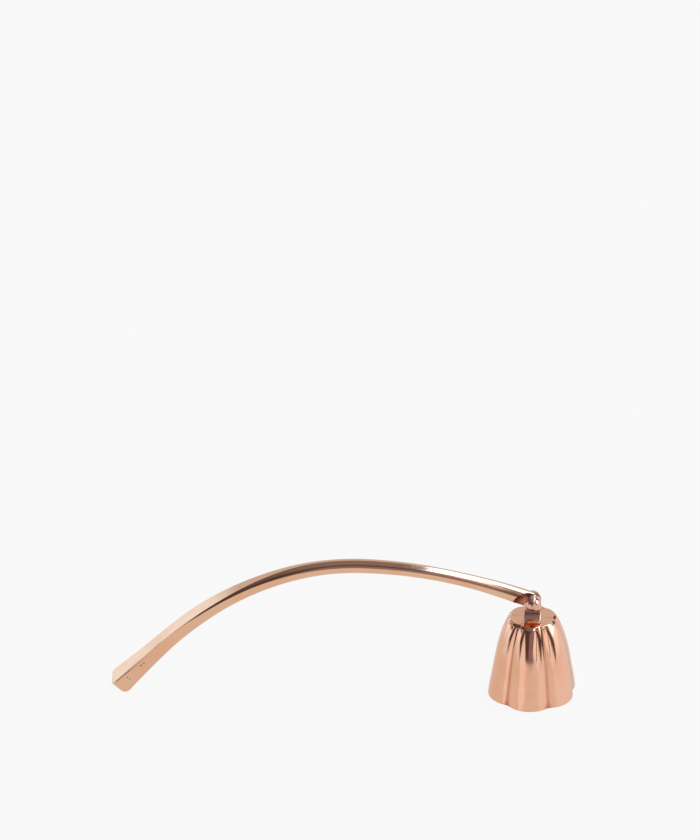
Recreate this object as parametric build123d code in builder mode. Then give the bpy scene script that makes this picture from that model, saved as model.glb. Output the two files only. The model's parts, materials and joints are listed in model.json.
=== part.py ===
"""Candle snuffer: a fluted bell on a small fork, hinged to a long arched handle.

Millimetres, +Z up. The origin is the centre of the bell's mouth, on the surface that the
snuffer stands on. The handle runs towards -X and rests on its grip end. The hinge pin lies
along Y, and its ball head is on the -Y side.
"""

import os
from math import asin, atan2, cos, hypot, radians, sin, sqrt, tan

from build123d import *

# Bell cup
lobe_count = 6
first_lobe_angle = -96.5
bell_height = 39.5
mouth_radius = 21.0
crown_flat_radius = 9.4
bell_wall_thickness = 1.4
crown_thickness = 1.6
groove_share = 0.90

# The bell from its mouth up to the shoulder, and round the shoulder to the flat crown:
# height share, and share of the way out from the flat crown to the mouth
wall_shares = [
    (0.0, 1.0),
    (0.101, 0.959),
    (0.203, 0.901),
    (0.304, 0.840),
    (0.405, 0.785),
    (0.506, 0.726),
    (0.608, 0.651),
    (0.696, 0.569),
    (0.785, 0.472),
    (0.861, 0.375),
    (0.924, 0.276),
    (0.973, 0.184),
]
shoulder_shares = [
    (0.973, 0.184),
    (0.9905, 0.122),
    (0.9975, 0.061),
    (1.0, 0.0),
]

# Hinge fork on the bell's crown
pin_rise_height = 8.5
fork_width = 8.0
ear_thickness = 0.9
foot_reach_length = 6.75
foot_lip_height = 0.3
flare_height = 4.4
flare_hollow_share = 0.62
fork_edge_radius = 0.7

# Hinge pin, its ball head and the ball nut
pin_radius = 1.25
pin_running_clearance = 0.05
pin_seat_clearance = 0.02
ball_radius = 3.7
ball_centre_offset = 0.5
nut_radius = 3.6
nut_centre_offset = 0.25
nut_thread_depth = 2.4
thread_clearance = 0.02
thread_end_gap = 0.3

# Handle: its length along the centre line, the tongue, the round rod and the flattened grip
handle_length = 216.6
tongue_thickness = 2.0
tongue_side_clearance = 0.1
tongue_radius = 3.9
tongue_end_clearance = 0.3
tongue_flat_length = 4.8
run_out_length = 5.5
run_out_hollow_share = 0.62
run_out_lean_angle = 24.0
rod_diameter = 6.6
rod_lift_height = 0.3
grip_width = 13.0
grip_thickness = 8.4
heel_radius = 4.2
tip_top_radius = 0.5
tip_side_radius = 2.4

# The arch from the hinge to the straight grip: after a short straight each bend has its radius,
# as a share of the handle's length, and the degrees that it turns down
rise_angle = 20.44
hinge_straight_length = 10.0
arch_bend_shares = [
    (1.1258, 8.12),
    (0.8867, 11.03),
    (0.4727, 20.05),
    (0.5933, 18.3),
    (0.7677, 9.55),
]

# Sections evenly spaced along the round rod, after the tongue's own: width and thickness as
# shares of the rod's diameter, and the corner radius as a share of half the thickness
tongue_corner_share = 0.98
rod_section_shares = [
    (1.10, 1.10, 0.98),
    (0.985, 0.985, 0.98),
    (0.94, 0.94, 0.98),
    (0.95, 0.95, 0.98),
    (0.97, 0.97, 0.98),
    (1.00, 1.00, 0.98),
    (1.01, 1.01, 0.98),
    (1.045, 1.02, 0.95),
]

# The same along the flattened grip, as shares of the grip's width and thickness at its end
grip_section_shares = [
    (0.560, 0.740, 0.82),
    (0.615, 0.650, 0.62),
    (0.700, 0.590, 0.44),
    (0.755, 0.605, 0.30),
    (0.765, 0.645, 0.27),
    (0.790, 0.725, 0.26),
    (0.875, 0.860, 0.26),
    (1.0, 1.0, 0.10),
]

# Fork screw and washer inside the bell
screw_radius = 1.5
screw_clearance = 0.1
screw_reach_length = 2.8
screw_head_radius = 2.8
screw_head_height = 1.8
screw_edge_radius = 0.6
slot_width = 0.8
slot_depth = 0.9
washer_radius = 3.5
washer_thickness = 0.5
blind_hole_spare_depth = 0.2

# How far a cut passes the faces that it opens
overrun_length = 1.0

# Derived places
lobe_pitch = 360 / lobe_count
quarter_arc_share = cos(radians(45))
crown_inside = bell_height - crown_thickness
pin_height = bell_height + pin_rise_height
slot_half_width = tongue_thickness / 2 + tongue_side_clearance
slot_floor = pin_height - tongue_radius - rod_lift_height - tongue_end_clearance
ear_radius = fork_width / 2
ear_face = slot_half_width + ear_thickness
ear_top = pin_height + ear_radius
slot_height = ear_top + overrun_length - slot_floor
foot_top = bell_height + foot_lip_height
flare_top = foot_top + flare_height
flare_reach = foot_reach_length - ear_face
screw_end = bell_height + screw_reach_length
washer_under = crown_inside - washer_thickness
screw_head_under = washer_under - screw_head_height


def polar(radius, angle):
    """Point in the XY plane at a radius and an angle in degrees from +X."""
    return (radius * cos(radians(angle)), radius * sin(radians(angle)))


def lobe_radii(crown_radius):
    """Bulge radius of a lobe's arc, and how far its centre is from the bell's axis."""
    half_pitch = radians(lobe_pitch / 2)
    groove_along = crown_radius * groove_share * cos(half_pitch)
    groove_across = crown_radius * groove_share * sin(half_pitch)
    sagitta = crown_radius - groove_along
    bulge = (groove_across**2 + sagitta**2) / (2 * sagitta)
    return bulge, crown_radius - bulge


def lobed_sketch(height, outer_radius, wall=0):
    """Face of the lobed outline at a height, drawn in by a wall towards each lobe's centre."""
    bulge, centre = lobe_radii(outer_radius)
    half_pitch = radians(lobe_pitch / 2)
    inner_bulge = bulge - wall
    groove = centre * cos(half_pitch) + sqrt(inner_bulge**2 - (centre * sin(half_pitch)) ** 2)
    with BuildSketch(Plane.XY.offset(height)) as outline:
        with BuildLine():
            for lobe in range(lobe_count):
                middle = first_lobe_angle + lobe * lobe_pitch
                ThreePointArc(
                    polar(groove, middle - lobe_pitch / 2),
                    polar(centre + inner_bulge, middle),
                    polar(groove, middle + lobe_pitch / 2),
                )
        make_face()
    return outline.sketch


def bell_sections(shares, height, wall=0):
    """Lobed outlines of a bell of this height, one for each pair of shares."""
    widening = mouth_radius - crown_flat_radius
    return [
        lobed_sketch(height * height_share, crown_flat_radius + widening * out_share, wall)
        for height_share, out_share in shares
    ]


def draw_centre_line():
    """Handle's centre line from the pin to the grip's end, in the side view that is active."""
    line = PolarLine((0, rod_lift_height), hinge_straight_length, rise_angle)
    grip_straight = handle_length - line.length
    for radius_share, turn in arch_bend_shares:
        line = JernArc(line @ 1, line % 1, handle_length * radius_share, -turn)
        grip_straight -= line.length
    PolarLine(line @ 1, grip_straight, direction=line % 1)


def handle_section(path, length_share, width, thickness, corner_share):
    """Rounded rectangle square to the path, centred on it at a share of its length."""
    distance = path.length * length_share
    middle = path.position_at(distance, position_mode=PositionMode.LENGTH)
    along = path.tangent_at(distance, position_mode=PositionMode.LENGTH)
    with BuildSketch(Plane(origin=middle, x_dir=(0, 1, 0), z_dir=along)) as section:
        RectangleRounded(width, thickness, corner_share * thickness / 2)
    return section.sketch


def corner_waste(corner, along, outward, radius):
    """Sketch of what rounding takes off a square corner whose sides face along and outward."""
    middle = radius - radius * quarter_arc_share
    beyond = overrun_length
    with BuildSketch(Plane(origin=corner, x_dir=along, z_dir=along.cross(outward))) as waste:
        with BuildLine():
            ThreePointArc((-radius, 0), (-middle, -middle), (0, -radius))
            Polyline((0, -radius), (beyond, -radius), (beyond, beyond), (-radius, beyond), (-radius, 0))
        make_face()
    return waste.sketch


# Bell cup: lofted outside, the same shape a wall smaller inside, and the screw's hole
with BuildPart() as bell_cup:
    loft(bell_sections(wall_shares, bell_height))
    loft(bell_sections(shoulder_shares, bell_height))
    loft(bell_sections(wall_shares, crown_inside, bell_wall_thickness), mode=Mode.SUBTRACT)
    loft(bell_sections(shoulder_shares, crown_inside, bell_wall_thickness), mode=Mode.SUBTRACT)
    with BuildSketch(Plane.XY.offset(crown_inside - overrun_length)):
        Circle(screw_radius + screw_clearance)
    extrude(amount=crown_thickness + 2 * overrun_length, mode=Mode.SUBTRACT)

# Hinge fork: the side view with its flared foot, cut to the front view with its round top,
# its edges rounded, then slotted for the tongue and bored for the pin and the screw
with BuildPart() as hinge_fork:
    with BuildSketch(Plane.YZ):
        with BuildLine():
            ThreePointArc(
                (ear_face, flare_top),
                (
                    foot_reach_length - flare_reach * flare_hollow_share,
                    flare_top - flare_height * flare_hollow_share,
                ),
                (foot_reach_length, foot_top),
            )
            Polyline((foot_reach_length, foot_top), (foot_reach_length, bell_height), (0, bell_height))
            Polyline((0, bell_height), (0, ear_top), (ear_face, ear_top), (ear_face, flare_top))
        make_face()
        mirror(about=Plane.YZ)
    extrude(amount=ear_radius, both=True)
    with BuildSketch(Plane.XZ):
        with BuildLine():
            Polyline(
                (ear_radius, pin_height),
                (ear_radius, bell_height),
                (-ear_radius, bell_height),
                (-ear_radius, pin_height),
            )
            ThreePointArc((-ear_radius, pin_height), (0, ear_top), (ear_radius, pin_height))
        make_face()
    extrude(amount=foot_reach_length, both=True, mode=Mode.INTERSECT)
    upright_edges = hinge_fork.edges().filter_by_position(
        Axis.Z, foot_top, pin_height, inclusive=(False, False)
    )
    corner_edges = upright_edges.group_by(Axis.X)[0] + upright_edges.group_by(Axis.X)[-1]
    ear_edges = hinge_fork.edges().filter_by_position(
        Axis.Z, pin_height, ear_top, inclusive=(False, True)
    )
    fillet(corner_edges + ear_edges, fork_edge_radius)
    with BuildSketch(Plane.XZ):
        with Locations((0, slot_floor)):
            Rectangle(fork_width + overrun_length, slot_height, align=(Align.CENTER, Align.MIN))
    extrude(amount=slot_half_width, both=True, mode=Mode.SUBTRACT)
    with BuildSketch(Plane.XZ):
        with Locations((0, pin_height)):
            Circle(pin_radius + pin_seat_clearance)
    extrude(amount=foot_reach_length, both=True, mode=Mode.SUBTRACT)
    with BuildSketch(Plane.XY.offset(bell_height)):
        Circle(screw_radius + thread_clearance)
    extrude(amount=screw_reach_length + blind_hole_spare_depth, mode=Mode.SUBTRACT)

# The handle swings down until the rounded heel of its grip rests on the surface
with BuildLine() as level_line:
    draw_centre_line()
level_end = level_line.wires()[0] @ 1
level_run = level_line.wires()[0] % 1
heel_drop = grip_thickness / 2 - heel_radius
heel_x = level_end.X - heel_radius * level_run.X + heel_drop * level_run.Y
heel_y = level_end.Y - heel_radius * level_run.Y - heel_drop * level_run.X
rest_tilt = asin((heel_radius - pin_height) / hypot(heel_x, heel_y)) - atan2(heel_y, heel_x)
side_view = Plane(
    origin=(0, 0, pin_height), x_dir=(-cos(rest_tilt), 0, sin(rest_tilt)), z_dir=(0, 1, 0)
)
with BuildLine(side_view) as centre_line:
    draw_centre_line()
handle_path = centre_line.wires()[0]

# The rounded corners of the grip's end: the two at its sides, then heel and top
grip_tip = handle_path @ 1
outwards = handle_path % 1
sideways = Vector(0, 1, 0)
grip_up = sideways.cross(outwards)
half_thickness = grip_up * (grip_thickness / 2)
half_width = sideways * (grip_width / 2)
grip_corners = [
    corner_waste(grip_tip + half_width, outwards, sideways, tip_side_radius),
    corner_waste(grip_tip - half_width, outwards, -sideways, tip_side_radius),
    corner_waste(grip_tip - half_thickness, outwards, -grip_up, heel_radius),
    corner_waste(grip_tip + half_thickness, outwards, grip_up, tip_top_radius),
]

# Handle: lofted along its centre line, rounded at the grip, milled to a flat tongue at the pin
section_sizes = [(2 * tongue_radius, 2 * tongue_radius, tongue_corner_share)]
for width_share, thickness_share, corner in rod_section_shares:
    section_sizes.append((rod_diameter * width_share, rod_diameter * thickness_share, corner))
for width_share, thickness_share, corner in grip_section_shares:
    section_sizes.append((grip_width * width_share, grip_thickness * thickness_share, corner))
section_gaps = len(rod_section_shares) + len(grip_section_shares)
tongue_run = handle_path % 0
tongue_view = Plane(origin=(0, 0, pin_height), x_dir=tongue_run, z_dir=sideways.cross(tongue_run))
tongue_side = tongue_thickness / 2
run_out_end = tongue_flat_length + run_out_length
run_out_side = tongue_side + run_out_length
run_out_middle = run_out_length * run_out_hollow_share
run_out_direction = tongue_view.z_dir - tongue_run * tan(radians(run_out_lean_angle))
with BuildPart() as handle:
    loft(
        [
            handle_section(handle_path, place / section_gaps, *sizes)
            for place, sizes in enumerate(section_sizes)
        ]
    )
    for corner in grip_corners:
        extrude(corner, amount=grip_width, both=True, mode=Mode.SUBTRACT)
    with BuildSketch(tongue_view):
        with BuildLine():
            Polyline(
                (run_out_end, run_out_side),
                (-ear_radius, run_out_side),
                (-ear_radius, tongue_side),
                (tongue_flat_length, tongue_side),
            )
            ThreePointArc(
                (tongue_flat_length, tongue_side),
                (tongue_flat_length + run_out_middle, run_out_side - run_out_middle),
                (run_out_end, run_out_side),
            )
        make_face()
        mirror(about=Plane.XZ)
    extrude(amount=rod_diameter, dir=run_out_direction, both=True, mode=Mode.SUBTRACT)
    with BuildSketch(side_view):
        with Locations((0, rod_lift_height)):
            Circle(tongue_radius)
    extrude(amount=tongue_side, both=True)
    with BuildSketch(side_view):
        Circle(pin_radius + pin_running_clearance)
    extrude(amount=grip_width, both=True, mode=Mode.SUBTRACT)

# Pin: shank and ball head turned about the hinge axis
pin_axis = Axis((0, 0, pin_height), (0, 1, 0))
pin_view = Plane(origin=(0, 0, pin_height), x_dir=(0, 1, 0), z_dir=(1, 0, 0))
head_seat = sqrt(ball_radius**2 - ball_centre_offset**2)
head_middle = -ear_face - ball_centre_offset
head_end = head_middle - ball_radius
head_bulge = ball_radius * quarter_arc_share
pin_end = ear_face + nut_thread_depth
with BuildPart() as hinge_pin:
    with BuildSketch(pin_view):
        with BuildLine():
            Polyline(
                (head_end, 0),
                (pin_end, 0),
                (pin_end, pin_radius),
                (-ear_face, pin_radius),
                (-ear_face, head_seat),
            )
            ThreePointArc(
                (-ear_face, head_seat), (head_middle - head_bulge, head_bulge), (head_end, 0)
            )
        make_face()
    revolve(axis=pin_axis)

# Ball nut on the far end of the pin, with its blind hole
nut_seat = sqrt(nut_radius**2 - nut_centre_offset**2)
nut_middle = ear_face + nut_centre_offset
nut_end = nut_middle + nut_radius
nut_bulge = nut_radius * quarter_arc_share
nut_hole_radius = pin_radius + thread_clearance
nut_hole_end = pin_end + thread_end_gap
with BuildPart() as pin_cap:
    with BuildSketch(pin_view):
        with BuildLine():
            Polyline(
                (nut_end, 0),
                (nut_hole_end, 0),
                (nut_hole_end, nut_hole_radius),
                (ear_face, nut_hole_radius),
                (ear_face, nut_seat),
            )
            ThreePointArc((ear_face, nut_seat), (nut_middle + nut_bulge, nut_bulge), (nut_end, 0))
        make_face()
    revolve(axis=pin_axis)

# Fork screw: slotted head inside the bell, shank up through the crown into the fork
with BuildPart() as fork_screw:
    with BuildSketch(Plane.XY.offset(screw_head_under)):
        Circle(screw_head_radius)
    extrude(amount=screw_head_height)
    head_rim = fork_screw.edges().group_by(Axis.Z)[0]
    fillet(head_rim, screw_edge_radius)
    with BuildSketch(Plane.XY.offset(washer_under)):
        Circle(screw_radius)
    extrude(amount=screw_end - washer_under)
    with BuildSketch(Plane.XY.offset(screw_head_under)):
        Rectangle(2 * screw_head_radius + overrun_length, slot_width)
    extrude(amount=slot_depth, mode=Mode.SUBTRACT)

# Washer between the screw's head and the inside of the crown
with BuildPart() as screw_washer:
    with BuildSketch(Plane.XY.offset(washer_under)):
        Circle(washer_radius)
        Circle(screw_radius + screw_clearance, mode=Mode.SUBTRACT)
    extrude(amount=washer_thickness)

pieces = {
    "bell_cup": bell_cup,
    "hinge_fork": hinge_fork,
    "handle": handle,
    "hinge_pin": hinge_pin,
    "pin_cap": pin_cap,
    "fork_screw": fork_screw,
    "screw_washer": screw_washer,
}
os.makedirs("parts", exist_ok=True)
for name, piece in pieces.items():
    piece.part.label = name
    export_step(piece.part, "parts/" + name + ".step")
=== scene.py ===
"""Looks of a candle snuffer: a fluted bell, a small forked hinge and a long arched handle.

Metres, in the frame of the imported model: the bell's axis is +Z, the handle runs towards -X and
the hinge pin lies along Y. Sizes in the classes are millimetres.
"""

import json
import logging
import math
from collections.abc import Iterable, Sequence
from dataclasses import dataclass, field
from enum import Enum

import bmesh
import bpy
from mathutils import Matrix, Vector

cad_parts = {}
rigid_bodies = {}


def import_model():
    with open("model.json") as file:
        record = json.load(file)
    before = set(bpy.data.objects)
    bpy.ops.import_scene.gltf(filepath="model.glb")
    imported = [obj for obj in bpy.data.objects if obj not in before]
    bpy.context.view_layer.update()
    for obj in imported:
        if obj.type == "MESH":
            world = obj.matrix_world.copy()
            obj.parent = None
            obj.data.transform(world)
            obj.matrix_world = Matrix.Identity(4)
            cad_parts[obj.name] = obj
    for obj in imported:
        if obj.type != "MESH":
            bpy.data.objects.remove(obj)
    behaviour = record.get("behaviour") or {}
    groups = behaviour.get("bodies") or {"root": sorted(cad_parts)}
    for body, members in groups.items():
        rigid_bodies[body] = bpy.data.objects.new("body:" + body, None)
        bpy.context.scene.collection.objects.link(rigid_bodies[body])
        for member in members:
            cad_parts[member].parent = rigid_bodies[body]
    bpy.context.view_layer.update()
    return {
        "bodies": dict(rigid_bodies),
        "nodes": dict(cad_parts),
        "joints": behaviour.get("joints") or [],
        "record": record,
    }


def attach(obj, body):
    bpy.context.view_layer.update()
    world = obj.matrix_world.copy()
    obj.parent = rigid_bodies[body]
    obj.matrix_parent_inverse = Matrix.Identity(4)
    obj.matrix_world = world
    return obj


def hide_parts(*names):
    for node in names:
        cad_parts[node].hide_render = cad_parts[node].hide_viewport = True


MM = 0.001
log = logging.getLogger("snuffer")

Socket = bpy.types.NodeSocket
Colour = tuple[float, float, float]
Row = tuple[float, ...]
UP, BACK, FRONT = (0.0, 0.0, 1.0), (0.0, 1.0, 0.0), (0.0, -1.0, 0.0)
RIGHT, LEFT = (1.0, 0.0, 0.0), (-1.0, 0.0, 0.0)

# Values of the noise between which each pattern of a finish comes in
CLOUD_SPAN = (0.30, 0.62)
SMUDGE_SPAN = (0.42, 0.72)
SCRATCH_SPAN = (0.55, 0.80)

# Share of the alloy's colour that is left in the random clouds, and under the painted shade of the
# valleys and the pits
CLOUD_TINT = (0.97, 0.90, 0.84)
VALLEY_PAINTED_SHADE_TINT = (0.62, 0.34, 0.26)
PIT_PAINTED_SHADE_TINT = (0.35, 0.28, 0.25)

# Full heights of the finish's relief, in metres
WAVE_DEPTH = 0.0006
SCRATCH_DEPTH = 0.0001
PIT_DEPTH = -0.0003

# Flat floor of a pit, by its radius, and roughness of a scratch, by that of a smudge
PIT_FLOOR_SHARE = 0.3
SCRATCH_SMUDGE_SHARE = 0.8

# Lights that several softboxes share
WHITE_GLARE = (2.2, 3.2, 4.2)
DARK_GAP = (0.085, 0.060, 0.065)


class Alloy(Enum):
    """Colour of each alloy, linear: clean polished surfaces, and darkened copies that paint shade.
    """

    ROSE = (0.915, 0.55, 0.36)
    ROSE_RED = (0.95, 0.54, 0.365)
    # Painted shade: a darker copy of the rose colour for the hinge's fork, pin and cap, standing
    # in for their dim reflections
    ROSE_SHADE_DARKENED = (0.86, 0.50, 0.37)
    # Painted shade: a dark copy of the rose colour for the tongue's milled faces in the fork's
    # slot
    SHADE_DARKENED = (0.44, 0.20, 0.14)
    YELLOW = (0.86, 0.62, 0.30)

    def tinted(self, tint: Colour) -> Colour:
        """The alloy's colour, darkened by a tint."""
        red, green, blue = (part * share for part, share in zip(self.value, tint))
        return red, green, blue


class Grain(Enum):
    """Which way the marks of the last polishing run, by the stretch of the pattern."""

    ALONG_X = (1.0, 9.0, 9.0)
    ROUND_Z = (6.0, 6.0, 1.0)
    EVEN = (1.0, 1.0, 1.0)


class Pattern(Enum):
    """A noise pattern: repeats a metre, octaves of finer noise, and their weight."""

    CLOUD = (38.0, 4.0, 0.6)
    SMUDGE = (120.0, 6.0, 0.65)
    SCRATCH = (900.0, 3.0, 0.7)
    WAVE = (55.0, 1.0, 0.4)


def curve_rows(rows: Sequence[Row], steps: int) -> list[Row]:
    """Runs a smooth curve through rows of numbers and samples it.

    Args:
        rows: Points of any dimension, in order.
        steps: Samples between each point and the next.

    Returns:
        The sampled rows, the first and last ones kept.
    """

    def tangent(index: int) -> list[float]:
        """Slope of the curve at a row, for one step of the parameter."""
        before, after = rows[max(index - 1, 0)], rows[min(index + 1, len(rows) - 1)]
        span = 2.0 if 0 < index < len(rows) - 1 else 1.0
        return [(b - a) / span for a, b in zip(before, after)]

    sampled: list[Row] = []
    for index in range(len(rows) - 1):
        start, end = rows[index], rows[index + 1]
        leave, arrive = tangent(index), tangent(index + 1)
        for step in range(steps):
            t = step / steps
            sampled.append(
                tuple(
                    (2 * t**3 - 3 * t**2 + 1) * a
                    + (t**3 - 2 * t**2 + t) * m
                    + (3 * t**2 - 2 * t**3) * b
                    + (t**3 - t**2) * n
                    for a, b, m, n in zip(start, end, leave, arrive)
                )
            )
    sampled.append(tuple(rows[-1]))
    return sampled


def make_object(name: str, bm: bmesh.types.BMesh) -> bpy.types.Object:
    """Closes a bmesh into a linked object at the origin.

    Args:
        name: Name of the piece.
        bm: The finished bmesh, which is freed.

    Returns:
        The new object, smooth all over.
    """
    mesh = bpy.data.meshes.new(name)
    bm.to_mesh(mesh)
    bm.free()
    mesh.shade_smooth()
    piece = bpy.data.objects.new(name, mesh)
    bpy.context.scene.collection.objects.link(piece)
    return piece


def next_ring(
    bm: bmesh.types.BMesh, edges: list[bmesh.types.BMEdge]
) -> list[bmesh.types.BMEdge]:
    """Extrudes a closed ring of edges in place.

    Args:
        bm: The bmesh that holds the ring.
        edges: The ring's edges.

    Returns:
        The new ring's edges.
    """
    made = bmesh.ops.extrude_edge_only(bm, edges=edges)["geom"]
    return [item for item in made if isinstance(item, bmesh.types.BMEdge)]


def ring_verts(edges: Iterable[bmesh.types.BMEdge]) -> list[bmesh.types.BMVert]:
    """Vertices of a ring of edges, each once."""
    return list({vert for edge in edges for vert in edge.verts})


@dataclass(frozen=True)
class NodeBench:
    """Adds the kinds of node that the metals and the surroundings share to one node tree."""

    tree: bpy.types.NodeTree

    def operate(
        self, operation: str, first: Socket, second: Socket | float | None = None
    ) -> Socket:
        """Works out one or two values.

        Args:
            operation: Name of the operation.
            first: First value.
            second: Second value, if the operation has one.

        Returns:
            The result.
        """
        node = self.tree.nodes.new("ShaderNodeMath")
        node.operation = operation
        self.tree.links.new(first, node.inputs[0])
        if isinstance(second, float):
            node.inputs[1].default_value = second
        elif second is not None:
            self.tree.links.new(second, node.inputs[1])
        return node.outputs[0]

    def measure(self, operation: str, vector: Socket, fixed: Sequence[float]) -> Socket:
        """Measures a vector against a fixed one.

        Args:
            operation: Name of the operation, such as DISTANCE.
            vector: The vector.
            fixed: The fixed vector.

        Returns:
            The measure.
        """
        node = self.tree.nodes.new("ShaderNodeVectorMath")
        node.operation = operation
        node.inputs[1].default_value = fixed
        self.tree.links.new(vector, node.inputs[0])
        return node.outputs["Value"]

    def smooth(
        self,
        value: Socket,
        from_low: float,
        from_high: float,
        to_low: float = 0.0,
        to_high: float = 1.0,
    ) -> Socket:
        """Maps a value smoothly from one range to another.

        Args:
            value: Value to map.
            from_low: Value that gives to_low.
            from_high: Value that gives to_high.
            to_low: Result at and below from_low.
            to_high: Result at and above from_high.

        Returns:
            The mapped value.
        """
        node = self.tree.nodes.new("ShaderNodeMapRange")
        node.interpolation_type = "SMOOTHSTEP"
        node.inputs["From Min"].default_value = from_low
        node.inputs["From Max"].default_value = from_high
        node.inputs["To Min"].default_value = to_low
        node.inputs["To Max"].default_value = to_high
        self.tree.links.new(value, node.inputs["Value"])
        return node.outputs["Result"]

    def mix(self, share: Socket, first: Socket | Colour, second: Colour) -> Socket:
        """Lays a colour over another.

        Args:
            share: How much of the second shows.
            first: Colour or socket below.
            second: Colour on top.

        Returns:
            The mixed colour.
        """
        node = self.tree.nodes.new("ShaderNodeMix")
        node.data_type = "RGBA"
        self.tree.links.new(share, node.inputs["Factor"])
        if isinstance(first, tuple):
            node.inputs["A"].default_value = (*first, 1.0)
        else:
            self.tree.links.new(first, node.inputs["A"])
        node.inputs["B"].default_value = (*second, 1.0)
        return node.outputs["Result"]

    def noise(self, vector: Socket, pattern: Pattern) -> Socket:
        """Adds a noise pattern.

        Args:
            vector: Coordinates that the pattern follows.
            pattern: The pattern.

        Returns:
            The pattern's factor.
        """
        node = self.tree.nodes.new("ShaderNodeTexNoise")
        scale, detail, roughness = pattern.value
        node.inputs["Scale"].default_value = scale
        node.inputs["Detail"].default_value = detail
        node.inputs["Roughness"].default_value = roughness
        self.tree.links.new(vector, node.inputs["Vector"])
        return node.outputs["Fac"]

    def bump(
        self, height: Socket, strength: float, distance: float, normal: Socket | None = None
    ) -> Socket:
        """Adds a bump on top of a normal.

        Args:
            height: Height pattern.
            strength: Share of the full bump.
            distance: Height of the full bump, in metres.
            normal: Normal to build on, if any.

        Returns:
            The bumped normal.
        """
        node = self.tree.nodes.new("ShaderNodeBump")
        node.inputs["Strength"].default_value = strength
        node.inputs["Distance"].default_value = distance
        self.tree.links.new(height, node.inputs["Height"])
        if normal is not None:
            self.tree.links.new(normal, node.inputs["Normal"])
        return node.outputs["Normal"]


@dataclass(frozen=True)
class PolishedMetal:
    """A cast metal surface, polished by hand: faint waves, fine scratches, smudges and pits, with
    painted shade in the pits and along any valleys.
    """

    name: str
    alloy: Alloy
    grain: Grain = Grain.EVEN
    roughness: float = 0.09
    smudge: float = 0.07
    wave_height: float = 0.04
    scratch_height: float = 0.01
    pits: tuple[Row, ...] = ()
    # Name of a vertex attribute of painted shade that darkens the colour, if any
    painted_shade_attribute: str = ""

    def material(self) -> bpy.types.Material:
        """Builds the node material.

        Returns:
            The material, ready for a slot.
        """
        material = bpy.data.materials.new(self.name)
        material.use_nodes = True
        tree = material.node_tree
        bench = NodeBench(tree)
        shader = tree.nodes["Principled BSDF"]
        shader.inputs["Metallic"].default_value = 1.0
        place = tree.nodes.new("ShaderNodeTexCoord").outputs["Object"]
        stretch = tree.nodes.new("ShaderNodeMapping")
        stretch.inputs["Scale"].default_value = self.grain.value
        tree.links.new(place, stretch.inputs["Vector"])
        scratch = bench.noise(stretch.outputs["Vector"], Pattern.SCRATCH)
        pitted = self._pitted(bench, place)
        tree.links.new(self._colour(bench, place, pitted), shader.inputs["Base Color"])
        tree.links.new(self._dullness(bench, place, scratch), shader.inputs["Roughness"])
        tree.links.new(self._relief(bench, place, scratch, pitted), shader.inputs["Normal"])
        return material

    def _colour(self, bench: NodeBench, place: Socket, pitted: Socket | None) -> Socket:
        """Colour of the metal: a little cloudy at random, with painted shade darkening the valleys
        and the pits.

        Args:
            bench: The material's node bench.
            place: Object coordinates.
            pitted: 1 in a pit, if there are any.

        Returns:
            The colour.
        """
        cloud = bench.smooth(bench.noise(place, Pattern.CLOUD), *CLOUD_SPAN)
        colour = bench.mix(cloud, self.alloy.tinted(CLOUD_TINT), self.alloy.value)
        # Painted shade: the attribute darkens the colour along the bell's valleys, standing in for
        # the grooves' shade and dim inter-reflections
        if self.painted_shade_attribute:
            shade = bench.tree.nodes.new("ShaderNodeAttribute")
            shade.attribute_name = self.painted_shade_attribute
            colour = bench.mix(shade.outputs["Fac"], colour, self.alloy.tinted(VALLEY_PAINTED_SHADE_TINT))
        # Painted shade: the colour inside each pit is darkened, on top of its dent
        if pitted is not None:
            colour = bench.mix(pitted, colour, self.alloy.tinted(PIT_PAINTED_SHADE_TINT))
        return colour

    def _dullness(self, bench: NodeBench, place: Socket, scratch: Socket) -> Socket:
        """Roughness of the metal, raised by smudges and scratches.

        Args:
            bench: The material's node bench.
            place: Object coordinates.
            scratch: The scratches.

        Returns:
            The roughness.
        """
        smudged = bench.smooth(
            bench.noise(place, Pattern.SMUDGE),
            *SMUDGE_SPAN,
            self.roughness,
            self.roughness + self.smudge,
        )
        lined = self.smudge * SCRATCH_SMUDGE_SHARE
        scratched = bench.smooth(scratch, *SCRATCH_SPAN, 0.0, lined)
        return bench.operate("ADD", smudged, scratched)

    def _relief(
        self, bench: NodeBench, place: Socket, scratch: Socket, pitted: Socket | None
    ) -> Socket:
        """Normal of the metal: the polisher's waves, the scratches and the pits.

        Args:
            bench: The material's node bench.
            place: Object coordinates.
            scratch: The scratches.
            pitted: 1 in a pit, if there are any.

        Returns:
            The normal.
        """
        normal = bench.bump(bench.noise(place, Pattern.WAVE), self.wave_height, WAVE_DEPTH)
        normal = bench.bump(scratch, self.scratch_height, SCRATCH_DEPTH, normal)
        if pitted is not None:
            normal = bench.bump(pitted, 1.0, PIT_DEPTH, normal)
        return normal

    def _pitted(self, bench: NodeBench, place: Socket) -> Socket | None:
        """Marks the small casting pits, each dented and darkened with painted shade.

        Args:
            bench: The material's node bench.
            place: Object coordinates.

        Returns:
            1 in a pit and 0 off it, or nothing where the piece has no pits.
        """
        marked = None
        for x, y, z, radius in self.pits:
            away = bench.measure("DISTANCE", place, (x * MM, y * MM, z * MM))
            floor = radius * PIT_FLOOR_SHARE * MM
            inside = bench.smooth(away, floor, radius * MM, 1.0, 0.0)
            marked = inside if marked is None else bench.operate("MAXIMUM", marked, inside)
        return marked


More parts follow.
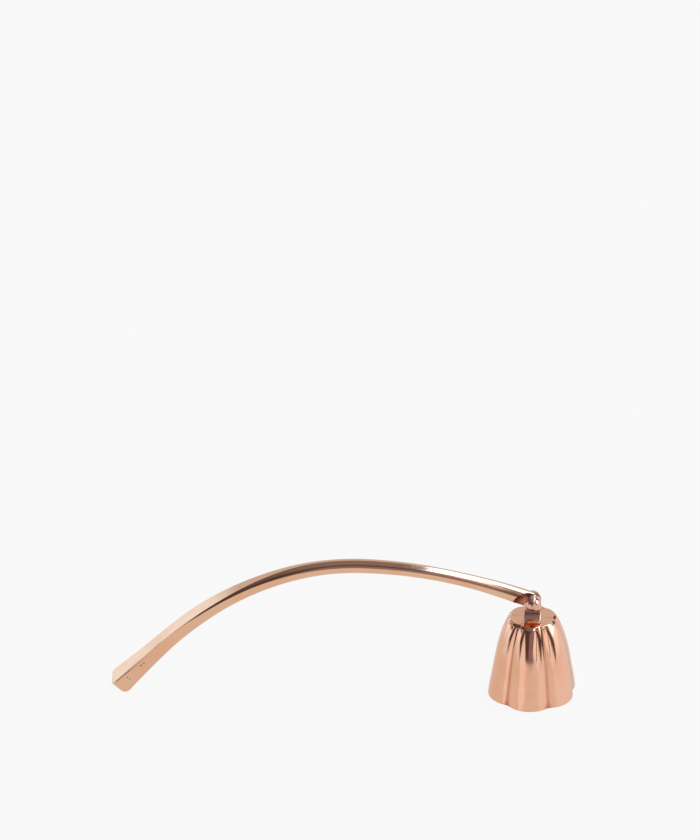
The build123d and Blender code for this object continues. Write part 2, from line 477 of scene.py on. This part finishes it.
@dataclass
class BellCup:
    """The fluted bell: six bulging lobes that meet in narrow valleys, thin and open below."""

    node: str = "bell_cup"
    slot: str = "bell_metal"
    lobes: int = 6
    first_lobe: float = -96.5
    height: float = 39.5
    mouth_radius: float = 21.0
    crown_radius: float = 9.4
    wall: float = 1.4
    crown_thickness: float = 1.6
    groove_share: float = 0.90
    groove_round: float = 4.5
    rim_round: float = 0.35
    hole_radius: float = 1.6
    # How finely the shell is divided
    columns: int = 22
    wall_steps: int = 5
    shoulder_steps: int = 4
    lip_steps: int = 5
    slope_parts: int = 50
    crown_shares: tuple[float, ...] = (0.995, 0.95, 0.85, 0.7, 0.5, 0.32)
    # The painted shade line in each valley: degrees wide, degrees more at the rim, share of the
    # valleys' shade colour, and how far above the rim it is wider and darker
    painted_shade_width: float = 2.6
    painted_shade_spread: float = 2.4
    painted_shade_share: float = 0.62
    painted_shade_rim_reach: float = 2.2
    # Shares of the height and of the way from crown radius to mouth radius
    wall_rows: tuple[Row, ...] = (
        (0.0, 1.0),
        (0.101, 0.959),
        (0.203, 0.901),
        (0.304, 0.840),
        (0.405, 0.785),
        (0.506, 0.726),
        (0.608, 0.651),
        (0.696, 0.569),
        (0.785, 0.472),
        (0.861, 0.375),
        (0.924, 0.276),
        (0.973, 0.184),
    )
    shoulder_rows: tuple[Row, ...] = (
        (0.973, 0.184),
        (0.9865, 0.137),
        (0.9955, 0.108),
        (1.0, 0.082),
    )

    def reach(self, outer: float, inset: float, angle: float, round_share: float) -> float:
        """Distance from the axis to the lobed outline.

        Args:
            outer: Radius at the lobes' crests, before the inset.
            inset: How far the outline is drawn in towards each lobe's centre.
            angle: Degrees from the middle of the nearest lobe.
            round_share: 0 for the lobed outline, 1 for a plain circle.

        Returns:
            The distance, in millimetres.
        """
        half = math.radians(180 / self.lobes)
        along = outer * self.groove_share * math.cos(half)
        across = outer * self.groove_share * math.sin(half)
        sagitta = outer - along
        bulge = (across**2 + sagitta**2) / (2 * sagitta)
        centre = outer - bulge

        def lobe(turn: float) -> float:
            """Distance to the lobe's arc at a turn in radians from its middle."""
            side = centre * math.sin(turn)
            return centre * math.cos(turn) + math.sqrt((bulge - inset) ** 2 - side**2)

        turn, soft = math.radians(abs(angle)), math.radians(self.groove_round)
        if turn <= half - soft:
            lobed = lobe(turn)
        else:
            edge, step = half - soft, soft / self.slope_parts
            slope = (lobe(edge - step) - lobe(edge)) / step
            lobed = lobe(edge) - slope * soft / 2 + slope * (half - turn) ** 2 / (2 * soft)
        return lobed + (outer - inset - lobed) * round_share

    def shade(self, height: float, away: float) -> float:
        """How much painted shade a valley gets: a fine line that spreads and deepens just above
        the rim.

        Args:
            height: Height above the rim, in millimetres.
            away: Degrees from the valley's middle.

        Returns:
            Share of the valleys' painted shade colour.
        """
        low = math.exp(-((height / self.painted_shade_rim_reach) ** 2))
        near = away / (self.painted_shade_width + self.painted_shade_spread * low)
        return math.exp(-(near**2)) * (self.painted_shade_share + (1 - self.painted_shade_share) * low)

    def crests(self, rows: Sequence[Row], steps: int) -> list[tuple[float, float]]:
        """Samples a run of the bell's side.

        Args:
            rows: Shares of the height and of the way from crown radius to mouth radius.
            steps: Samples between each row and the next.

        Returns:
            For each sample its share of the height and its crest radius.
        """
        span = self.mouth_radius - self.crown_radius
        return [(up, self.crown_radius + span * out) for up, out in curve_rows(rows, steps)]

    def rings(self) -> list[tuple[float, float, float, float]]:
        """Rings of the shell from the rim up the outside, over the crown and down the inside.

        Returns:
            For each ring its height, crest radius, inset and roundness.
        """
        wall = self.crests(self.wall_rows, self.wall_steps)
        shoulder = self.crests(self.shoulder_rows, self.shoulder_steps)[1:]
        steps = [math.radians(90 * step / self.lip_steps) for step in range(self.lip_steps + 1)]
        lip, mouth = self.rim_round, self.mouth_radius
        inner = self.height - self.crown_thickness
        edge = shoulder[-1][1]
        rings = [(0.0, mouth, self.wall / 2, 0.0)]
        rings += [
            (lip * (1 - math.cos(t)), mouth, lip * (1 - math.sin(t)), 0.0) for t in steps[:-1]
        ]
        rings += [
            (max(self.height * up, lip), crest, 0.0, 0.0)
            for up, crest in wall
            if self.height * up >= lip or up == 0.0
        ]
        rings += [(self.height * up, crest, 0.0, 0.0) for up, crest in shoulder]
        rings += [(self.height, edge * share, 0.0, 1 - share) for share in self.crown_shares]
        rings += [(z, self.hole_radius, 0.0, 1.0) for z in (self.height, inner)]
        rings += [
            (inner, edge * share, self.wall * share, 1 - share)
            for share in reversed(self.crown_shares)
        ]
        rings += [
            (inner * up, crest, self.wall, 0.0)
            for up, crest in reversed(wall + shoulder)
            if inner * up > lip
        ]
        rings += [
            (lip * (1 - math.sin(t)), mouth, self.wall - lip * (1 - math.cos(t)), 0.0)
            for t in steps
        ]
        return rings

    def build(self) -> bpy.types.Object:
        """Models the bell ring by ring.

        Returns:
            The bell's object.
        """
        half = 180 / self.lobes
        shares = [math.sin(math.radians(90 * n / self.columns)) for n in range(self.columns + 1)]
        turns = [-half * share for share in reversed(shares[1:])]
        turns += [half * share for share in shares[:-1]]
        bm = bmesh.new()
        tag = bm.verts.layers.int.new("column")
        # Per-vertex share of painted shade along each valley, wider and darker just above the rim
        painted_valley_shade = bm.verts.layers.float.new("painted_valley_shade")
        count = self.lobes * len(turns)
        bmesh.ops.create_circle(bm, segments=count, radius=self.mouth_radius * MM)
        bm.verts.ensure_lookup_table()
        for index, vert in enumerate(bm.verts):
            vert[tag] = index
        # The columns are counted anticlockwise, whichever way round the circle was made
        turning = 1 if bm.verts[1].co.cross(bm.verts[0].co).z < 0 else -1
        edges = first = list(bm.edges)
        for number, (height, outer, inset, round_share) in enumerate(self.rings()):
            if number:
                edges = next_ring(bm, edges)
            for vert in ring_verts(edges):
                lobe, place = divmod((turning * vert[tag]) % count, len(turns))
                turn = turns[place]
                radius = self.reach(outer, inset, turn, round_share)
                angle = math.radians(self.first_lobe + 2 * half * lobe + turn)
                vert.co = Vector((radius * math.cos(angle), radius * math.sin(angle), height)) * MM
                # Paints the valleys' shade into the attribute, none on the round crown
                vert[painted_valley_shade] = self.shade(height, half - abs(turn)) * (1 - round_share)
        bmesh.ops.bridge_loops(bm, edges=edges + first)
        bmesh.ops.recalc_face_normals(bm, faces=bm.faces)
        bm.verts.layers.int.remove(tag)
        return make_object("bell_shell", bm)

    def dress(self) -> bpy.types.Object:
        """Builds the bell, polishes it and puts it in the plain one's place.

        Returns:
            The finished piece.
        """
        piece = self.build()
        # The bell's finish darkens its valleys with the painted shade attribute
        finish = PolishedMetal(
            "bell_polish_and_valley_shade",
            Alloy.ROSE_RED,
            Grain.ROUND_Z,
            roughness=0.10,
            painted_shade_attribute="painted_valley_shade",
        )
        piece.data.materials.append(finish.material())
        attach(piece, "bell")
        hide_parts(self.node)
        return piece


@dataclass
class ArchedHandle:
    """The handle: a flat tongue at the pin, a round arched rod and a flattened grip."""

    node: str = "handle"
    slot: str = "handle_metal"
    pin_height: float = 48.0
    length: float = 216.6
    rise: float = 20.44
    lift: float = 0.3
    hinge_straight: float = 10.0
    rod: float = 6.6
    grip_width: float = 13.0
    grip_thickness: float = 8.4
    tongue_radius: float = 3.9
    tongue_thickness: float = 2.0
    tongue_flat: float = 4.8
    run_out: float = 5.5
    run_out_hollow: float = 0.62
    run_out_lean: float = 24.0
    ear_radius: float = 4.0
    pin_hole: float = 1.3
    heel: float = 4.2
    top_round: float = 0.5
    side_round: float = 2.4
    full_round: float = 0.98
    least_corner: float = 0.02
    # How finely the outline and the length are divided
    corner_steps: int = 18
    flat_shares: tuple[float, ...] = (0.05, 0.16, 0.38, 0.62, 0.84, 0.95)
    row_steps: int = 16
    body_rings: int = 230
    end_rings: int = 14
    end_inset: float = 0.25
    # Tools that mill and bore the tongue, and how the cut mesh is cleaned up
    cut_reach: float = 8.0
    cut_margin: float = 1.0
    cut_steps: int = 32
    disc_sides: int = 72
    weld: float = 0.002
    sharp_angle: float = 32.0
    # Radius of each bend, as a share of the length, and the degrees that it turns
    bends: tuple[Row, ...] = (
        (1.1258, 8.12),
        (0.8867, 11.03),
        (0.4727, 20.05),
        (0.5933, 18.3),
        (0.7677, 9.55),
    )
    # Shares of the rod's or the grip's width and thickness, and the corner's share
    rod_rows: tuple[Row, ...] = (
        (1.10, 1.10, 0.98),
        (0.985, 0.985, 0.98),
        (0.94, 0.94, 0.98),
        (0.95, 0.95, 0.98),
        (0.97, 0.97, 0.98),
        (1.00, 1.00, 0.98),
        (1.01, 1.01, 0.98),
        (1.045, 1.02, 0.95),
    )
    grip_rows: tuple[Row, ...] = (
        (0.560, 0.740, 0.82),
        (0.615, 0.650, 0.62),
        (0.700, 0.590, 0.44),
        (0.755, 0.605, 0.30),
        (0.765, 0.645, 0.27),
        (0.790, 0.725, 0.26),
        (0.875, 0.860, 0.26),
        (1.0, 1.0, 0.10),
    )
    # Place and radius of each pit, dented and darkened with painted shade
    pits: tuple[Row, ...] = (
        (-181.4, -5.45, 14.3, 0.60),
        (-180.1, -5.45, 15.4, 0.55),
        (-187.7, -5.9, 7.8, 0.50),
        (-186.6, -5.9, 6.9, 0.40),
    )

    def level_station(self, distance: float) -> tuple[float, float, float]:
        """Point of the centre line before the handle is swung down to rest.

        Args:
            distance: How far along the line from the pin.

        Returns:
            Outward and upward place, and the line's angle in degrees.
        """
        x, y, angle = 0.0, self.lift, self.rise
        runs = [(0.0, 0.0, self.hinge_straight)]
        runs += [
            (self.length * share, turn, math.radians(turn) * self.length * share)
            for share, turn in self.bends
        ]
        runs.append((0.0, 0.0, self.length))
        for radius, turn, run in runs:
            part = min(distance, run)
            if turn:
                end = angle - turn * part / run
                start_side, end_side = math.radians(angle), math.radians(end)
                x += radius * (math.sin(start_side) - math.sin(end_side))
                y += radius * (math.cos(end_side) - math.cos(start_side))
                angle = end
            else:
                x += part * math.cos(math.radians(angle))
                y += part * math.sin(math.radians(angle))
            distance -= part
            if distance <= 0:
                break
        return x, y, angle

    def rest_tilt(self) -> float:
        """Turn by which the heel of the grip comes down onto the surface.

        Returns:
            The angle, in radians.
        """
        x, y, angle = self.level_station(self.length)
        run = Vector((math.cos(math.radians(angle)), math.sin(math.radians(angle))))
        drop = self.grip_thickness / 2 - self.heel
        heel_x = x - self.heel * run.x + drop * run.y
        heel_y = y - self.heel * run.y - drop * run.x
        reach = math.hypot(heel_x, heel_y)
        return math.asin((self.heel - self.pin_height) / reach) - math.atan2(heel_y, heel_x)

    def station(self, distance: float) -> Matrix:
        """Frame of a section: X across the handle, Y out of its top, Z on along it.

        Args:
            distance: How far along the centre line from the pin.

        Returns:
            The section's placing matrix, in millimetres.
        """
        x, y, angle = self.level_station(distance)
        tilt = self.rest_tilt()
        out = Vector((-math.cos(tilt), 0.0, math.sin(tilt)))
        rise = Vector((math.sin(tilt), 0.0, math.cos(tilt)))
        turn = math.radians(angle)
        along = out * math.cos(turn) + rise * math.sin(turn)
        top = rise * math.cos(turn) - out * math.sin(turn)
        across = top.cross(along)
        frame = Matrix((across, top, along)).transposed().to_4x4()
        frame.translation = Vector((0.0, 0.0, self.pin_height)) + out * x + rise * y
        return frame

    def outline(
        self, left: float, right: float, low: float, high: float, corner: float
    ) -> list[Vector]:
        """Rounded rectangle with a fixed count of points, corners finely divided.

        Args:
            left: Lowest X.
            right: Highest X.
            low: Lowest Y.
            high: Highest Y.
            corner: Radius of the corners.

        Returns:
            The points, anticlockwise from the upper end of the right side.
        """
        most = min(right - left, high - low) / 2 - self.least_corner / 2
        corner = max(min(corner, most), self.least_corner)
        centres = [
            (right - corner, high - corner, 0),
            (left + corner, high - corner, 90),
            (left + corner, low + corner, 180),
            (right - corner, low + corner, 270),
        ]
        points: list[Vector] = []
        for index, (x, y, start) in enumerate(centres):
            for step in range(self.corner_steps + 1):
                eased = 1 - math.cos(math.radians(180 * step / self.corner_steps))
                turn = math.radians(start + 45 * eased)
                points.append(
                    Vector((x + corner * math.cos(turn), y + corner * math.sin(turn), 0.0))
                )
            next_x, next_y, _ = centres[(index + 1) % len(centres)]
            turn = math.radians(start + 90)
            side = Vector((math.cos(turn), math.sin(turn), 0.0)) * corner
            here, there = Vector((x, y, 0.0)) + side, Vector((next_x, next_y, 0.0)) + side
            points += [here.lerp(there, share) for share in self.flat_shares]
        return points

    def section(self, distance: float, rows: list[Row]) -> list[Vector]:
        """Outline of the handle at a place, drawn in where the grip's end is rounded.

        Args:
            distance: How far along the centre line from the pin.
            rows: Sampled widths, thicknesses and corner shares, evenly spaced.

        Returns:
            The outline's points in the section's frame.
        """
        place = min(distance / self.length, 1.0) * (len(rows) - 1)
        index = min(int(place), len(rows) - 2)
        mix = place - index
        width, thickness, share = (a + (b - a) * mix for a, b in zip(rows[index], rows[index + 1]))
        left = self.length - distance

        def inset(radius: float) -> float:
            """How far a corner of this radius has drawn the side in here."""
            if left >= radius:
                return 0.0
            return radius - math.sqrt(max(radius**2 - (radius - left) ** 2, 0.0))

        side = width / 2 - inset(self.side_round)
        low = -thickness / 2 + inset(self.heel)
        high = thickness / 2 - inset(self.top_round)
        return self.outline(-side, side, low, high, share * thickness / 2)

    def rows(self) -> list[Row]:
        """Widths, thicknesses and corner shares along the whole handle, evenly spaced.

        Returns:
            The sampled rows, from the pin to the grip's end.
        """
        rows = [(2 * self.tongue_radius, 2 * self.tongue_radius, self.full_round)]
        rows += [(self.rod * w, self.rod * t, c) for w, t, c in self.rod_rows]
        rows += [(self.grip_width * w, self.grip_thickness * t, c) for w, t, c in self.grip_rows]
        return curve_rows(rows, self.row_steps)

    def build(self) -> bpy.types.Object:
        """Models the rod and grip ring by ring, then mills the tongue.

        Returns:
            The handle's object.
        """
        rows = self.rows()
        body_end = self.length - self.heel
        spacing = [body_end * step / self.body_rings for step in range(self.body_rings + 1)]
        turns = [math.radians(90 * step / self.end_rings) for step in range(1, self.end_rings + 1)]
        spacing += [self.length - self.heel * (1 - math.sin(turn)) for turn in turns]
        bm = bmesh.new()
        tag = bm.verts.layers.int.new("column")
        count = len(self.section(0.0, rows))
        bmesh.ops.create_circle(bm, segments=count, radius=self.rod * MM)
        for index, vert in enumerate(bm.verts):
            vert[tag] = index
        edges = first = list(bm.edges)
        for number, distance in enumerate(spacing):
            if number:
                edges = next_ring(bm, edges)
            frame, outline = self.station(distance), self.section(distance, rows)
            for vert in ring_verts(edges):
                vert.co = frame @ outline[vert[tag]] * MM
        for ring in (first, edges):
            face = bmesh.ops.contextual_create(bm, geom=ring_verts(ring))["faces"]
            bmesh.ops.inset_region(
                bm, faces=face, thickness=self.end_inset * MM, use_even_offset=True
            )
        bmesh.ops.recalc_face_normals(bm, faces=bm.faces)
        bm.verts.layers.int.remove(tag)
        rod = make_object("handle_rod", bm)
        polish = PolishedMetal(
            "handle_polish_and_pit_shade",
            Alloy.ROSE,
            Grain.ALONG_X,
            smudge=0.05,
            wave_height=0.02,
            scratch_height=0.004,
            pits=self.pits,
        )
        rod.data.materials.append(polish.material())
        return self.mill(rod)

    def mill(self, rod: bpy.types.Object) -> bpy.types.Object:
        """Cuts both flats of the tongue, adds its round end, bores it for the pin and darkens the
        cut faces with painted shade.

        Args:
            rod: The rod with its full round end.

        Returns:
            The same object with its tongue.
        """
        pin = Vector((0.0, 0.0, self.pin_height))
        frame = self.station(0.0)
        centre = frame.translation.copy()
        frame.translation = pin
        half = self.tongue_thickness / 2
        jobs = [(self.flat_cutter(frame, half, side), "DIFFERENCE") for side in (1, -1)]
        disc = self.disc("tongue_end", centre, self.tongue_radius, self.tongue_thickness)
        bore = self.disc("pin_bore", pin, self.pin_hole, 4 * self.rod)
        jobs += [(disc, "UNION"), (bore, "DIFFERENCE")]
        # The milled faces get a dark copy of the alloy, painted shade for the dim slot between the
        # fork's ears
        shaded_cut = PolishedMetal("handle_milling_and_shade", Alloy.SHADE_DARKENED, roughness=0.22, smudge=0.1)
        finish = shaded_cut.material()
        for tool, operation in jobs:
            tool.data.materials.append(finish)
            step = rod.modifiers.new(tool.name, "BOOLEAN")
            step.object, step.operation, step.solver = tool, operation, "EXACT"
            step.material_mode = "TRANSFER"
        graph = bpy.context.evaluated_depsgraph_get()
        mesh = bpy.data.meshes.new_from_object(rod.evaluated_get(graph))
        rod.modifiers.clear()
        rod.data = mesh
        for tool, _ in jobs:
            bpy.data.objects.remove(tool)
        bm = bmesh.new()
        bm.from_mesh(mesh)
        bmesh.ops.remove_doubles(bm, verts=bm.verts, dist=self.weld * MM)
        bm.to_mesh(mesh)
        bm.free()
        mesh.shade_smooth()
        mesh.set_sharp_from_angle(angle=math.radians(self.sharp_angle))
        return rod

    def flat_cutter(self, frame: Matrix, half: float, side: int) -> bpy.types.Object:
        """Milling cutter for one flat of the tongue, with its curved run-out.

        Args:
            frame: Frame at the pin, X across and Z along the handle.
            half: Half the tongue's thickness.
            side: 1 or -1, for the side that is cut.

        Returns:
            The cutter's object.
        """
        start, end = -self.ear_radius - self.cut_margin, self.tongue_flat + self.run_out
        far = half + self.run_out + 3 * self.cut_margin
        chord = self.run_out * math.sqrt(2)
        sagitta = (2 * self.run_out_hollow - 1) * chord / 2
        bend = chord**2 / (8 * sagitta) + sagitta / 2
        sweep = math.degrees(math.asin(chord / 2 / bend))
        first = math.radians(45 - sweep)
        line = [(half, start), (half, self.tongue_flat)]
        for step in range(1, self.cut_steps + 1):
            turn = math.radians(45 - sweep + 2 * sweep * step / self.cut_steps)
            x = half + bend * (math.cos(first) - math.cos(turn))
            line.append((x, self.tongue_flat + bend * (math.sin(turn) - math.sin(first))))
        line += [(far, end), (far, start)]
        bm = bmesh.new()
        face = bm.faces.new([bm.verts.new((side * x, -self.cut_reach, z)) for x, z in line])
        made = bmesh.ops.extrude_face_region(bm, geom=[face])["geom"]
        moved = [item for item in made if isinstance(item, bmesh.types.BMVert)]
        bmesh.ops.translate(bm, verts=moved, vec=Vector((0.0, 2 * self.cut_reach, 0.0)))
        lean = Matrix.Identity(4)
        lean[2][1] = -math.tan(math.radians(self.run_out_lean))
        bmesh.ops.transform(bm, matrix=lean, verts=bm.verts)
        bmesh.ops.recalc_face_normals(bm, faces=bm.faces)
        bmesh.ops.transform(bm, matrix=Matrix.Scale(MM, 4) @ frame, verts=bm.verts)
        return make_object(f"cutter_{side}", bm)

    def disc(self, name: str, centre: Vector, radius: float, width: float) -> bpy.types.Object:
        """A round plate across the handle.

        Args:
            name: Name of the object.
            centre: Its middle, in millimetres.
            radius: Its radius.
            width: Its thickness along Y.

        Returns:
            The plate's object.
        """
        bm = bmesh.new()
        bmesh.ops.create_cone(
            bm,
            cap_ends=True,
            segments=self.disc_sides,
            radius1=radius,
            radius2=radius,
            depth=width,
        )
        place = Matrix.Translation(centre) @ Matrix.Rotation(math.radians(90), 4, "X")
        bmesh.ops.transform(bm, matrix=Matrix.Scale(MM, 4) @ place, verts=bm.verts)
        return make_object(name, bm)

    def dress(self) -> bpy.types.Object:
        """Builds the handle, polishes it and puts it in the plain one's place.

        Returns:
            The finished piece.
        """
        piece = self.build()
        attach(piece, "handle")
        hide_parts(self.node)
        return piece


@dataclass
class HingeParts:
    """The small turned and milled pieces of the hinge, whose plain solids have the right shape."""

    finishes: dict[str, PolishedMetal] = field(
        default_factory=lambda: {
            # The fork, the pin and the cap take the darker rose copy, painted shade for their dim
            # reflections
            "hinge_fork": PolishedMetal("fork_polish_and_shade", Alloy.ROSE_SHADE_DARKENED, roughness=0.14),
            "hinge_pin": PolishedMetal(
                "pin_polish_and_shade", Alloy.ROSE_SHADE_DARKENED, roughness=0.19, wave_height=0.01
            ),
            "pin_cap": PolishedMetal(
                "cap_polish_and_shade", Alloy.ROSE_SHADE_DARKENED, roughness=0.19, wave_height=0.01
            ),
            "fork_screw": PolishedMetal(
                "screw_turning", Alloy.YELLOW, Grain.ROUND_Z, roughness=0.28
            ),
            "screw_washer": PolishedMetal(
                "washer_stamping", Alloy.YELLOW, Grain.ALONG_X, roughness=0.32
            ),
        }
    )

    def dress(self, nodes: dict[str, bpy.types.Object]) -> None:
        """Gives each plain piece its finish.

        Args:
            nodes: The loaded pieces by name.
        """
        for name, finish in self.finishes.items():
            material = finish.material()
            for slot in nodes[name].material_slots:
                slot.material = material


@dataclass(frozen=True)
class Softbox:
    """A soft-edged patch of light or shade on the studio's surroundings.

    The patch lies on a wall at distance 1 that is square to the facing direction. Its centre,
    half size and soft edge are measured on that wall: across first, then upright.
    """

    name: str
    facing: Colour
    across: Colour
    centre: tuple[float, float]
    half: tuple[float, float]
    soft: tuple[float, float]
    light: Colour

    def axes(self) -> tuple[Vector, Vector, Vector]:
        """Directions of the wall.

        Returns:
            The directions towards it, across it and up it.
        """
        facing = Vector(self.facing).normalized()
        across = Vector(self.across).normalized()
        upright = facing.cross(across)
        return facing, across, -upright if upright.z < 0 else upright


@dataclass
class Studio:
    """Floor, surroundings and camera."""

    camera_azimuth: float = 0.85
    camera_elevation: float = 30.8
    scale: float = 0.4652
    image: tuple[int, int] = (700, 840)
    origin_at: tuple[float, float] = (531.5, 688.2)
    lens: float = 400.0
    sensor: float = 36.0
    # The camera's clipping, the floor's half width and its drop are in metres
    clip: tuple[float, float] = (0.1, 100.0)
    floor_size: float = 30.0
    floor_drop: float = 0.0002
    floor_tone: Colour = (0.05, 0.04, 0.034)
    floor_bounce: float = 0.02
    floor_light: float = 0.76
    backdrop: float = 0.937
    horizon: tuple[float, float] = (-0.13, -0.03)
    dim_room: Colour = (0.080, 0.065, 0.070)
    least_ahead: float = 0.001
    wall_edge: float = 0.01
    boxes: tuple[Softbox, ...] = (
        Softbox("room", UP, RIGHT, (0.25, 0.0), (0.9, 1.0), (1.2, 1.2), (0.25, 0.24, 0.25)),
        Softbox("back", BACK, RIGHT, (0.0, 0.5), (0.75, 0.75), (0.5, 0.6), (0.66, 0.68, 0.70)),
        Softbox("end", UP, RIGHT, (0.52, -1.9), (0.16, 1.1), (0.1, 0.6), (0.42, 0.37, 0.44)),
        Softbox("fade", UP, RIGHT, (0.48, -0.85), (0.08, 0.3), (0.05, 0.2), (0.9, 0.85, 0.9)),
        Softbox("tail", UP, RIGHT, (0.52, 0.62), (0.16, 0.72), (0.05, 0.20), WHITE_GLARE),
        Softbox("strip", UP, RIGHT, (0.37, 0.05), (0.07, 0.75), (0.03, 0.15), (2.5, 3.6, 4.8)),
        Softbox("glow", RIGHT, BACK, (0.0, -0.3), (1.2, 0.3), (0.6, 0.3), (0.86, 0.85, 0.90)),
        Softbox("left", LEFT, BACK, (0.47, 0.19), (1.27, 0.31), (0.2, 0.22), (1.0, 1.20, 1.34)),
        Softbox("right", RIGHT, BACK, (-0.1, 0.2), (0.7, 0.32), (0.2, 0.2), (1.1, 1.15, 1.22)),
        Softbox("window", RIGHT, BACK, (-0.06, 0.56), (0.28, 0.42), (0.12, 0.12), WHITE_GLARE),
        Softbox("shelf", LEFT, BACK, (0.25, 0.29), (0.65, 0.09), (0.2, 0.06), (0.10, 0.07, 0.08)),
        Softbox(
            "left panel",
            FRONT,
            (0.75, 0.0, 0.66),
            (-0.81, 0.70),
            (0.41, 0.62),
            (0.06, 0.2),
            (0.95, 0.95, 1.0),
        ),
        Softbox(
            "right panel",
            FRONT,
            (0.91, 0.0, -0.41),
            (0.56, 0.85),
            (0.36, 0.75),
            (0.04, 0.2),
            (1.05, 1.1, 1.15),
        ),
        Softbox(
            "left gap",
            LEFT,
            (0.0, 0.90, 0.434),
            (-0.48, 1.25),
            (0.18, 1.1),
            (0.05, 0.12),
            DARK_GAP,
        ),
        Softbox(
            "right gap",
            RIGHT,
            (0.0, 0.788, 0.615),
            (-0.45, 1.4),
            (0.19, 1.2),
            (0.05, 0.12),
            DARK_GAP,
        ),
        Softbox(
            "front gap",
            FRONT,
            (0.91, 0.0, -0.41),
            (0.615, 1.15),
            (0.05, 1.0),
            (0.03, 0.12),
            (0.11, 0.08, 0.09),
        ),
        Softbox("lens", FRONT, RIGHT, (0.02, 0.22), (0.20, 0.3), (0.08, 0.3), (0.28, 0.23, 0.29)),
    )

    def axes(self) -> tuple[Vector, Vector, Vector]:
        """Directions of the camera's picture.

        Returns:
            The camera's right, up and backward directions.
        """
        azimuth, elevation = math.radians(self.camera_azimuth), math.radians(self.camera_elevation)
        right = Vector((math.cos(azimuth), math.sin(azimuth), 0.0))
        back = Vector(
            (
                math.sin(azimuth) * math.cos(elevation),
                -math.cos(azimuth) * math.cos(elevation),
                math.sin(elevation),
            )
        )
        return right, back.cross(right), back

    def camera(self) -> bpy.types.Object:
        """Places the camera so that the bell's mouth lies where the photograph has it.

        Returns:
            The camera.
        """
        right, up, back = self.axes()
        data = bpy.data.cameras.new("studio_camera")
        data.lens, data.sensor_width = self.lens, self.sensor
        data.clip_start, data.clip_end = self.clip
        span = self.image[1] * self.scale * MM
        away = span * self.lens / self.sensor
        middle = right * (self.image[0] / 2 - self.origin_at[0]) * self.scale * MM
        middle -= up * (self.image[1] / 2 - self.origin_at[1]) * self.scale * MM
        camera = bpy.data.objects.new("studio_camera", data)
        frame = Matrix((right, up, back)).transposed().to_4x4()
        frame.translation = middle + back * away
        camera.matrix_world = frame
        bpy.context.scene.collection.objects.link(camera)
        bpy.context.scene.camera = camera
        return camera

    def floor(self) -> bpy.types.Object:
        """Lays the plain pale floor.

        Returns:
            The floor.
        """
        bm = bmesh.new()
        bmesh.ops.create_grid(bm, x_segments=1, y_segments=1, size=self.floor_size)
        bmesh.ops.translate(bm, verts=bm.verts, vec=Vector((0.0, 0.0, -self.floor_drop)))
        floor = make_object("floor", bm)
        material = bpy.data.materials.new("floor_paper")
        material.use_nodes = True
        shader = material.node_tree.nodes["Principled BSDF"]
        shader.inputs["Base Color"].default_value = (*self.floor_tone, 1.0)
        shader.inputs["Roughness"].default_value = 1.0
        shader.inputs["Specular IOR Level"].default_value = 0.0
        shader.inputs["Emission Color"].default_value = (1.0, 1.0, 1.0, 1.0)
        shader.inputs["Emission Strength"].default_value = self.backdrop - self.floor_bounce
        floor.data.materials.append(material)
        floor.visible_glossy = False
        return floor

    def surroundings(self) -> None:
        """Lights the snuffer by the world: a pale floor below, softboxes and a dim room above."""
        world = bpy.data.worlds.new("studio")
        bpy.context.scene.world = world
        world.use_nodes = True
        tree = world.node_tree
        tree.nodes.clear()
        bench = NodeBench(tree)
        output = tree.nodes.new("ShaderNodeOutputWorld")
        look = tree.nodes.new("ShaderNodeTexCoord").outputs["Generated"]
        split = tree.nodes.new("ShaderNodeSeparateXYZ")
        tree.links.new(look, split.inputs["Vector"])
        above = bench.smooth(split.outputs["Z"], *self.horizon)
        colour = bench.mix(above, (self.floor_light,) * 3, self.dim_room)
        for box in self.boxes:
            colour = bench.mix(self._patch(bench, look, box), colour, box.light)
        lit = tree.nodes.new("ShaderNodeBackground")
        tree.links.new(colour, lit.inputs["Color"])
        plain = tree.nodes.new("ShaderNodeBackground")
        plain.inputs["Color"].default_value = (*(self.backdrop,) * 3, 1.0)
        path = tree.nodes.new("ShaderNodeLightPath")
        either = tree.nodes.new("ShaderNodeMixShader")
        tree.links.new(path.outputs["Is Camera Ray"], either.inputs["Fac"])
        tree.links.new(lit.outputs["Background"], either.inputs[1])
        tree.links.new(plain.outputs["Background"], either.inputs[2])
        tree.links.new(either.outputs["Shader"], output.inputs["Surface"])

    def _patch(self, bench: NodeBench, look: Socket, box: Softbox) -> Socket:
        """Share of a softbox in each direction.

        Args:
            bench: The world's node bench.
            look: The direction.
            box: The softbox.

        Returns:
            1 on the box, 0 off it, with its soft edge between.
        """
        facing, *along = (bench.measure("DOT_PRODUCT", look, axis) for axis in box.axes())
        ahead = bench.operate("MAXIMUM", facing, self.least_ahead)
        sides = []
        for part, centre, half, soft in zip(along, box.centre, box.half, box.soft):
            place = bench.operate("DIVIDE", part, ahead)
            place = bench.operate("SUBTRACT", place, centre)
            place = bench.operate("ABSOLUTE", place)
            sides.append(bench.smooth(place, half + soft / 2, half - soft / 2))
        inside = bench.operate("MULTIPLY", *sides)
        before = bench.operate("GREATER_THAN", facing, self.wall_edge)
        share = bench.operate("MULTIPLY", inside, before)
        share.node.label = box.name
        return share

    def build(self) -> None:
        """Sets up camera, floor, surroundings and plain picture tones."""
        bpy.context.scene.view_settings.view_transform = "Standard"
        self.camera()
        self.floor()
        self.surroundings()
        log.info("studio ready")


def main() -> None:
    """Builds the snuffer's pieces in order and reports each one."""
    logging.basicConfig(level=logging.INFO, format="%(name)s: %(message)s")
    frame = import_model()
    Studio().build()
    for part in (BellCup(), ArchedHandle()):
        piece = part.dress()
        log.info("%s: %d faces", piece.name, len(piece.data.polygons))
    HingeParts().dress(frame["nodes"])


if __name__ == "__main__":
    main()
